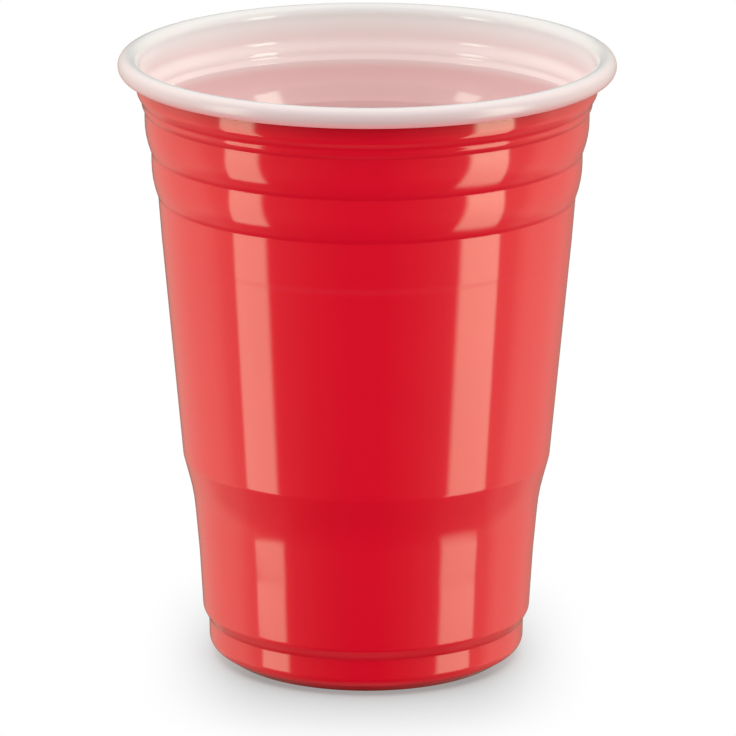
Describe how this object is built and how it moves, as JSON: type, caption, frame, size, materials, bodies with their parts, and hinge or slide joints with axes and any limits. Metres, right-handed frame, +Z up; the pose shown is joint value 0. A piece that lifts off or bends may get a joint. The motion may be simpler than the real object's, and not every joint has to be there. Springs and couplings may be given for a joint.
{
  "type": "party cup",
  "caption": "Tapered plastic party cup, red outside and white inside, with a rolled rim, fine ribs, rounded bands, a fill line and a shouldered grip above its foot.",
  "frame": {"origin": "centre of the foot, on the table plane", "axes": "+Z up along the cup's axis of revolution; +X and +Y level, all directions around the axis alike"},
  "size_m": [0.095, 0.095, 0.1187],
  "materials": {
    "cup_plastic": "glossy red sheet with a white inner face"
  },
  "bodies": {
    "root": {"cup": "cup_plastic"}
  },
  "joints": []
}
